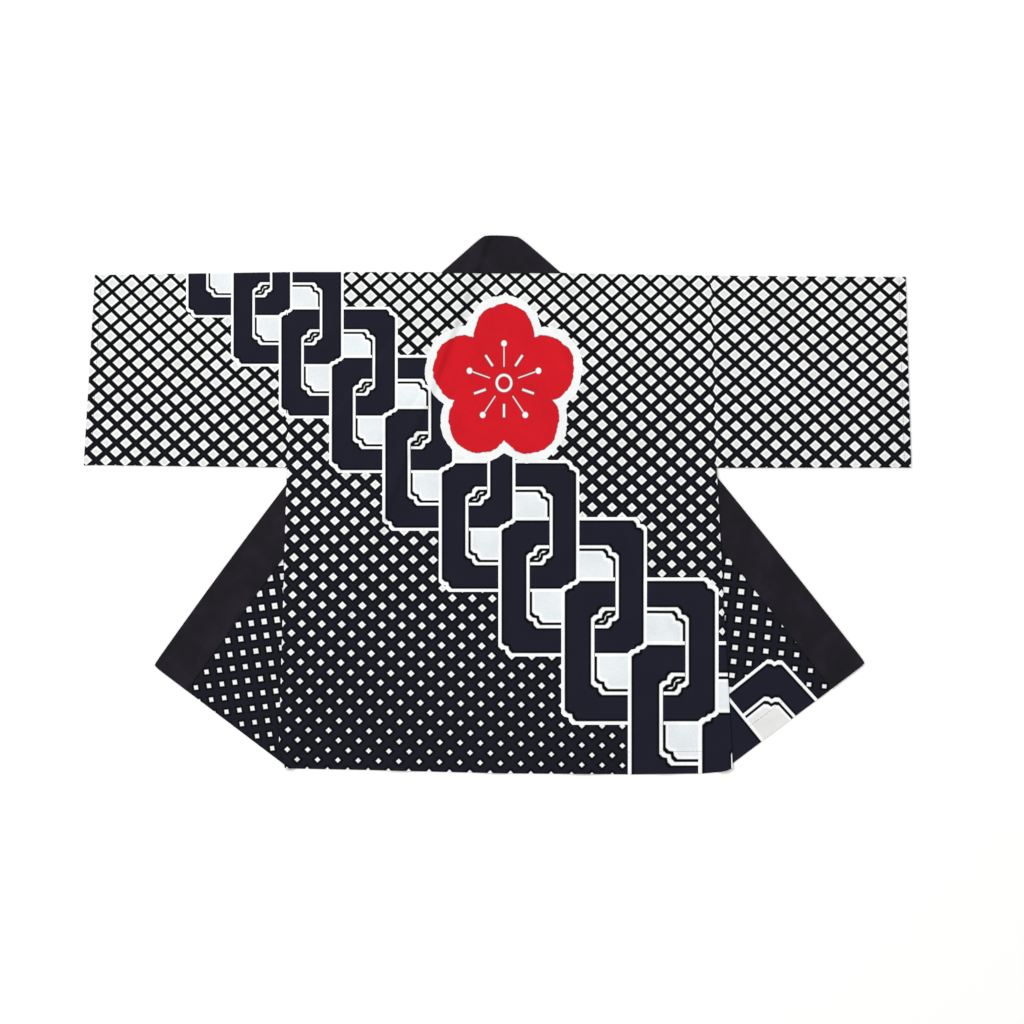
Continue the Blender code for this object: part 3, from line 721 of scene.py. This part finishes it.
# Soft ridges of the back and the sleeves, as those of the flaps are given.
BODY_RIDGES = (
    (-0.060, -0.420, 82.0, 0.420, 0.020, 0.0013, 0.25), (0.165, -0.380, 97.0, 0.330, 0.016, 0.0010, -0.2),
    (-0.215, -0.540, 68.0, 0.270, 0.018, 0.0012, 0.5), (0.055, -0.640, 101.0, 0.200, 0.014, 0.0012, 0.0),
    (0.262, -0.590, 79.0, 0.260, 0.015, 0.0011, 0.3), (-0.130, -0.250, 118.0, 0.190, 0.017, 0.0008, 0.0),
    (-0.288, -0.135, 58.0, 0.170, 0.012, 0.0010, 0.8), (0.282, -0.170, 122.0, 0.190, 0.013, 0.0011, -0.7),
    (-0.302, -0.235, 18.0, 0.150, 0.011, 0.0009, 0.0), (0.300, -0.250, 160.0, 0.160, 0.012, 0.0009, 0.0),
    (-0.155, -0.722, 92.0, 0.120, 0.021, 0.0015, 0.0), (-0.010, -0.735, 88.0, 0.090, 0.018, 0.0012, 0.0),
    (0.125, -0.728, 85.0, 0.130, 0.024, 0.0016, 0.0), (0.245, -0.730, 96.0, 0.090, 0.016, 0.0010, 0.0),
    (-0.452, -0.118, 11.0, 0.260, 0.016, 0.0012, 0.4), (-0.500, -0.215, 172.0, 0.210, 0.019, 0.0012, 0.3),
    (-0.565, -0.140, 94.0, 0.190, 0.013, 0.0008, 0.0), (0.450, -0.102, 174.0, 0.240, 0.015, 0.0011, -0.4),
    (0.425, -0.205, 12.0, 0.210, 0.018, 0.0012, 0.3), (0.556, -0.165, 86.0, 0.170, 0.013, 0.0010, 0.0),
    (-0.395, -0.060, 155.0, 0.130, 0.012, 0.0008, 0.0), (0.380, -0.052, 24.0, 0.120, 0.012, 0.0008, 0.0),
)
# The folds and seams that hold the upper cloth down: the top from neck to cuff, the foot of the
# sleeve, and the side.
HELD = [np.array(line) for side in SIDES.values()
        for line in (((0.0, 0.0), side["edge"][0], side["cuff"][0]), (side["edge"][1], side["cuff"][1]),
                     side["edge"][1:])]


def body_lift(plan):
    """The ridges, which grow from nothing with the distance to the nearest stretch held down."""
    nearest = np.full(plan.shape[:-1], 1.0)
    for line in HELD:
        for start, way in zip(line[:-1], np.diff(line, axis=0)):
            share = np.clip(((plan - start) @ way) / (way @ way), 0.0, 1.0)
            nearest = np.minimum(nearest, np.linalg.norm(plan - start - share[..., None] * way, axis=-1))
    return ridges(plan, BODY_RIDGES) * smooth((nearest - MARGIN) / 0.02)


# The chain is drawn so that each link is the one before it, grown about one far point.
CHAIN_CENTRE = (-1.6579, 1.2134)
CHAIN_GROWTH = 1.0574
LINK_MIDDLE = (1.2615, 1.2069)       # of link 0, right and down from that point
LINK_HALF = (0.0800, 0.0750)
LINK_BAND = 0.0343
FAR = 10.0                           # a depth greater than any in the chain


def chain(tree, x, y, under):
    """Square links, each through the next.

    The logarithm of the distance from the chain's centre, rounded, says which link is nearest,
    and the place is shrunk until that link is link 0. The depth in it and in its neighbours is
    worked out. Holes show the smallest depth. Over them come the bands, with the earlier link
    on top in the upper right half of the chain, and the later one in the lower left half.
    """
    place = join(tree, "CombineXYZ", x, y)
    away = join(tree, "VectorMath", place, (1.0, -1.0, 0.0), (-CHAIN_CENTRE[0], CHAIN_CENTRE[1], 0.0),
                operation="MULTIPLY_ADD")
    near = (0.5 / LINK_MIDDLE[0], 0.5 / LINK_MIDDLE[1], 0.0)
    size = join(tree, "VectorMath", away, near, out=1, operation="DOT_PRODUCT")
    number = join(tree, "Math", size, CHAIN_GROWTH, operation="LOGARITHM")
    number = join(tree, "Math", number, operation="ROUND")
    shrink = join(tree, "Math", 1.0 / CHAIN_GROWTH, number, operation="POWER")
    away = join(tree, "VectorMath", away, shrink, at=(0, 3), operation="SCALE")
    depths = []
    for step in (-1, 0, 1):
        scaled = join(tree, "VectorMath", away, CHAIN_GROWTH ** -step, at=(0, 3), operation="SCALE")
        offset = join(tree, "VectorMath", scaled, (*LINK_MIDDLE, 0.0), operation="SUBTRACT")
        offset = join(tree, "VectorMath", offset, operation="ABSOLUTE")
        inside = join(tree, "VectorMath", (*LINK_HALF, 0.0), offset, operation="SUBTRACT")
        across, up = join(tree, "SeparateXYZ", inside).node.outputs[:2]
        depths.append(link_depth(tree, across, up, LINK_BAND))
    tilt = (1.0 / LINK_MIDDLE[0], -1.0 / LINK_MIDDLE[1], 0.0)
    upper = join(tree, "VectorMath", away, tilt, out=1, operation="DOT_PRODUCT")
    upper = join(tree, "Math", upper, 0.0, operation="GREATER_THAN")
    lowest = join(tree, "Mix", upper, depths[0], depths[2], at=(0, 2, 3))
    highest = join(tree, "Mix", upper, depths[2], depths[0], at=(0, 2, 3))
    depth = FAR
    for each in depths:
        outside = join(tree, "Math", each, LINK_BAND, operation="LESS_THAN")
        hole = join(tree, "Math", outside, FAR, each, operation="MULTIPLY_ADD")
        depth = join(tree, "Math", depth, hole, operation="MINIMUM")
    for each in (lowest, depths[1], highest):
        on_band = join(tree, "Math", each, LINK_BAND / 2, LINK_BAND / 2, operation="COMPARE")
        depth = join(tree, "Mix", on_band, depth, each, at=(0, 2, 3))
    cover = join(tree, "Math", depth, FAR / 2, operation="LESS_THAN")
    return paint_band(tree, depth, LINK_BAND, under, cover)


# A generic five-petalled blossom, block printed in red over a bare halo.
BLOSSOM_RED = "#CC1A25"
BLOSSOM_CENTRE = (0.0021, -0.1667)
BLOSSOM_HALF = (0.1090, 0.1190)
PETALS = 5
PETAL_OUT = 0.585                    # from the centre to a petal's, in blossom half widths
PETAL_RADIUS = 0.415
HEART_RADIUS = 0.42
HALO = 0.115
HALO_BARE = "#EDEFEF"


def blossom(tree, x, y, under):
    """Five round petals on a white halo.

    The angle is folded into half of one petal, so that one circle serves them all. White marks
    lie on it: a stamen and its dot on each petal's axis, a slit between petals, and a ring.
    """
    place = join(tree, "CombineXYZ", x, y)
    frayed = join(tree, "TexNoise", place, None, 42.0, 4.0, 0.6)
    offset = join(tree, "VectorMath", place, (*BLOSSOM_CENTRE, 0.0), operation="SUBTRACT")
    unit = join(tree, "VectorMath", offset, (1.0 / BLOSSOM_HALF[0], 1.0 / BLOSSOM_HALF[1], 0.0),
                operation="MULTIPLY")
    right_of, above = join(tree, "SeparateXYZ", unit).node.outputs[:2]
    angle = join(tree, "Math", right_of, above, operation="ARCTAN2")
    angle = join(tree, "Math", angle, math.pi / PETALS, operation="PINGPONG")
    radius = join(tree, "VectorMath", unit, out=1, operation="LENGTH")
    legs = []
    for operation in ("COSINE", "SINE"):
        share = join(tree, "Math", angle, operation=operation)
        legs.append(join(tree, "Math", radius, share, operation="MULTIPLY"))
    folded = join(tree, "CombineXYZ", *legs)
    rounds = {}
    for key, out, size in (("petal", PETAL_OUT, PETAL_RADIUS), ("dot", 0.50, 0.045)):
        distance = join(tree, "VectorMath", folded, (out, 0.0, 0.0), out=1, operation="DISTANCE")
        rounds[key] = join(tree, "Math", distance, size, operation="SUBTRACT")
    heart = join(tree, "Math", radius, HEART_RADIUS, operation="SUBTRACT")
    edge = join(tree, "Math", rounds["petal"], heart, operation="MINIMUM")
    wobble = join(tree, "Math", frayed, -0.10, 0.05, operation="MULTIPLY_ADD")
    edge = join(tree, "Math", edge, wobble, operation="ADD")
    # The marks: a radius within a stretch and a leg within a half width, as one distance.
    between_petals = join(tree, "Math", math.pi / PETALS, angle, operation="SUBTRACT")
    aside = join(tree, "Math", between_petals, radius, operation="MULTIPLY")
    marks = rounds["dot"]
    for off_line, start, stop, width in ((legs[1], 0.20, 0.46, 0.013), (aside, 0.26, 0.44, 0.020)):
        along = join(tree, "Math", radius, 0.5 * (start + stop), operation="SUBTRACT")
        along = join(tree, "Math", along, operation="ABSOLUTE")
        along = join(tree, "Math", along, 0.5 * (stop - start), operation="SUBTRACT")
        beside = join(tree, "Math", off_line, width, operation="SUBTRACT")
        mark = join(tree, "Math", along, beside, operation="MAXIMUM")
        marks = join(tree, "Math", marks, mark, operation="MINIMUM")
    ring = join(tree, "Math", radius, 0.10, operation="SUBTRACT")
    ring = join(tree, "Math", ring, operation="ABSOLUTE")
    ring = join(tree, "Math", ring, 0.022, operation="SUBTRACT")
    marks = join(tree, "Math", marks, ring, operation="MINIMUM")
    bare = join(tree, "Math", marks, -1.0, operation="MULTIPLY")
    paint = join(tree, "Math", edge, bare, operation="MAXIMUM")
    paint = join(tree, "Math", paint, 0.5, operation="ADD")
    colour = join(tree, "ValToRGB", paint, stops=(
        (0.488, BLOSSOM_RED), (0.500, "#9C2630"), (0.512, HALO_BARE)))
    cover = join(tree, "Math", edge, HALO, operation="LESS_THAN")
    return join(tree, "Mix", cover, under, colour, at=(0, 6, 7), out=2, data_type="RGBA")


left_x, right_x = left.side, right_front.side
neck_shares = [(front.seam(0.0, -SEAM_OVERLAP) - left_x(0.0)) / (right_x(0.0) - left_x(0.0)) for front in FRONTS.values()]
between_sides = [lambda y, share=share: left_x(y) + (right_x(y) - left_x(y)) * share for share in neck_shares]
strips = (0.0, SEAM_LIP, SEAM_ROUND / 2, SEAM_ROUND)
stops = ([lambda y, strip=strip: left_x(y) + strip for strip in strips] + between_sides
         + [lambda y, strip=strip: right_x(y) - strip for strip in strips[::-1]])
columns = [1, 1, 1, 72, 54, 72, 1, 1, 1]
hem_line = lambda x: np.interp(x, HEM[:, 0], HEM[:, 1])
flat = panel_grid(stops, columns, hem_line, lambda x: shoulder(x) - CLOTH_ROLL, edge_rows(0.75, 196))
roll_length = math.pi * CLOTH_ROLL
roll = np.linspace(0.0, roll_length, 9)[1:, None]
over = np.stack(np.broadcast_arrays(flat[-1:, :, 0], flat[-1:, :, 1] + roll), axis=-1)
cut = np.concatenate((flat, over))


def back_rise(points, rise):
    """On its bed up to the shoulder line, then round the shoulder fold by its half turn."""
    x, y = points[..., 0], points[..., 1]
    start = shoulder(x) - CLOTH_ROLL
    radius = shoulder_roll(x)
    angle = np.clip((y - start) / roll_length, 0.0, 1.0) * math.pi
    plan = np.stack((x, np.minimum(y, start)), axis=-1)
    rolled_y = plan[..., 1] + (radius + rise) * np.sin(angle)
    level = back_bed(plan) + body_lift(plan) + CLOTH / 2 - radius + (radius + rise) * np.cos(angle)
    return np.stack((x, rolled_y, level), axis=-1)


def from_sides(points):
    """Distance inward from the nearer side of the body."""
    x, y = points[..., 0], points[..., 1]
    return np.minimum(x - left_x(y), right_x(y) - x)


def back_skin(points, height):
    """The print side, at a height above the cloth, thinner above the hem and lower at the sides."""
    above_hem = points[..., 1] - hem_line(points[..., 0])
    return back_rise(points, CLOTH / 2 + hem_rise(above_hem, BACK_HEM_TURN) - seam_dip(from_sides(points)) + height)


column_starts = np.cumsum([0] + columns)
keep = np.ones((cut.shape[0] - 1, cut.shape[1] - 1), dtype=bool)
keep[len(flat) - 1:, column_starts[4]:column_starts[5]] = False
slid = np.sign(cut[..., 0]) * seam_take(from_sides(cut))
finish = cotton_print("resist_printed_cotton_back", LATTICES["back"], [chain, blossom])
piece = sew("back_cloth", back_skin(cut, 0.0), back_rise(cut, np.full(cut.shape[:2], -CLOTH / 2)), cut, finish,
            np.stack((slid, np.zeros_like(slid)), axis=-1), keep)
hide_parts("back")
hem_x = np.linspace(HEM[0, 0] + SEAM_ROUND, HEM[-1, 0] - SEAM_ROUND, 300)
hem_path = np.stack((hem_x, hem_line(hem_x) + BACK_HEM_STITCHES), axis=-1)
stitches = stitch("hem_stitches_back", hem_path, back_skin)

# The sleeves
# Each sleeve is a straight tube of printed cotton, folded along its top, closed by a seam along
# its foot and sewn flat to the body at the armhole. Its cuff is wide, open and hemmed.

SLEEVE_LENGTH = 0.29
CUFF_TURN = 0.0115        # the width of the narrow hem of the cuff, and its row of stitches
CUFF_STITCHES = 0.0100
QUARTER = math.pi * CLOTH_ROLL / 2   # the cloth in a quarter turn of its folds

for name, side in SIDES.items():
    sign = side["sign"]
    armhole = np.array(side["edge"][:2]) - (sign * (GAP / 2 + SEAM_OVERLAP), 0.0)
    cuff = np.array(side["cuff"])

    def sleeve_rise(run, around, rise):
        """The tube: out from the top fold over both layers to the foot seam.

        Run is the share of the way from armhole to cuff. Around is the signed share of the half
        girth from the top fold, positive on the upper layer. The first and last quarter turns
        are arcs of the roll's radius, and the rest is straight.
        """
        high = armhole[0] + run[..., None] * (cuff[0] - armhole[0])
        low = armhole[1] + run[..., None] * (cuff[1] - armhole[1])
        depth = np.linalg.norm(low - high, axis=-1)
        line = (low - high) / depth[..., None]
        straight = depth - 2 * CLOTH_ROLL
        along = np.abs(around) * (straight + 2 * QUARTER - 0.0001)
        top_turn = np.clip(along / QUARTER, 0.0, 1.0) * math.pi / 2
        foot_turn = np.clip((along - QUARTER - straight) / QUARTER, 0.0, 1.0) * math.pi / 2
        reach = CLOTH_ROLL + rise
        down = CLOTH_ROLL - reach * np.cos(top_turn) + np.clip(along - QUARTER, 0.0, straight)
        down = down + reach * np.sin(foot_turn)
        plan = high + down[..., None] * line
        level = CLOTH / 2 + CLOTH_ROLL + np.sign(around) * reach * np.sin(top_turn) * np.cos(foot_turn)
        level = level + body_lift(plan) * (around > 0.0)
        cut = high + (np.sign(around) * along)[..., None] * line
        return np.concatenate((plan, level[..., None]), axis=-1), cut

    def sleeve_skin(points, height):
        """The print side, at a height above the cloth, doubled at the cuff and low at the armhole."""
        run, around = points[..., 0] / SLEEVE_LENGTH, points[..., 1]
        thick = CLOTH / 2 + hem_rise(SLEEVE_LENGTH * (1.0 - run), CUFF_TURN) - seam_dip(SLEEVE_LENGTH * run)
        return sleeve_rise(run, around, thick + height)[0]

    quarter_share = QUARTER / SLEEVE_LENGTH
    rolled = np.linspace(0.0, quarter_share, 5)
    steps = np.concatenate((rolled, np.linspace(2 * quarter_share, 1.0 - 2 * quarter_share, 90), 1.0 - rolled[::-1]))
    grid = np.stack(np.meshgrid(edge_rows(SLEEVE_LENGTH, 95) * SLEEVE_LENGTH,
                                np.concatenate((-steps[:0:-1], steps)), indexing="ij"), axis=-1)
    right = sleeve_skin(grid, 0.0)
    wrong, cut = sleeve_rise(grid[..., 0] / SLEEVE_LENGTH, grid[..., 1], np.full(grid.shape[:2], -CLOTH / 2))
    slid = np.stack((-sign * seam_take(grid[..., 0]), np.zeros(grid.shape[:2])), axis=-1)
    if sign > 0:
        right, wrong, cut, slid = right[:, ::-1], wrong[:, ::-1], cut[:, ::-1], slid[:, ::-1]
    overlays = [chain] if name == "left" else []
    finish = cotton_print(f"resist_printed_cotton_sleeve_{name}", LATTICES[f"sleeve_{name}"], overlays)
    piece = sew(f"sleeve_cloth_{name}", right, wrong, cut, finish, slid)
    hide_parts(f"sleeve_{name}")
    across = np.linspace(0.01, 0.99, 300)

    def cuff_skin(points, height):
        """The sleeve's print side, from distances along the sleeve and round it in metres."""
        girth = np.hypot(*(cuff[1] - cuff[0]))
        return sleeve_skin(np.stack((points[..., 0], points[..., 1] / girth), axis=-1), height)

    girth = np.hypot(*(cuff[1] - cuff[0]))
    cuff_path = np.stack((np.full_like(across, SLEEVE_LENGTH - CUFF_STITCHES), across * girth), axis=-1)
    stitches = stitch(f"cuff_stitches_{name}", cuff_path, cuff_skin)

# The table, the light and the camera
# A plain white table, lit evenly from all round, with one broad, far lamp from the upper left,
# and the camera straight above.

corners = np.array(((-1, -1, 0), (1, -1, 0), (1, 1, 0), (-1, 1, 0))) * 4.0
mesh = bpy.data.meshes.new("floor")
mesh.from_pydata(corners.tolist(), [], [(0, 1, 2, 3)])
floor = bpy.data.objects.new("floor", mesh)
bpy.context.scene.collection.objects.link(floor)
paper = bpy.data.materials.new("white_table")
paper.use_nodes = True
paper.node_tree.nodes["Principled BSDF"].inputs["Base Color"].default_value = linear("#FDFDFC")
paper.node_tree.nodes["Principled BSDF"].inputs["Roughness"].default_value = 0.9
mesh.materials.append(paper)

world = bpy.data.worlds.new("studio")
world.use_nodes = True
world.node_tree.nodes["Background"].inputs["Color"].default_value = (1.0, 1.0, 1.0, 1.0)
world.node_tree.nodes["Background"].inputs["Strength"].default_value = 0.70
bpy.context.scene.world = world

lamp = bpy.data.objects.new("soft_lamp", bpy.data.lights.new("soft_lamp", "AREA"))
lamp.data.size = 4.0
lamp.data.energy = 420.0
lamp.location = (-4.0, 4.4, 5.6)
lamp.rotation_mode = "QUATERNION"
lamp.rotation_quaternion = (-lamp.location).to_track_quat("-Z", "Y")
bpy.context.scene.collection.objects.link(lamp)

VIEW_MIDDLE = (0.0218, -0.0119)
VIEW_WIDTH = 1.5421
LENS = 90.0
camera = bpy.data.objects.new("camera", bpy.data.cameras.new("camera"))
camera.data.lens = LENS
camera.data.sensor_width = 36.0
camera.location = (*VIEW_MIDDLE, VIEW_WIDTH * LENS / camera.data.sensor_width)
bpy.context.scene.collection.objects.link(camera)
bpy.context.scene.camera = camera
bpy.context.scene.view_settings.view_transform = "Standard"
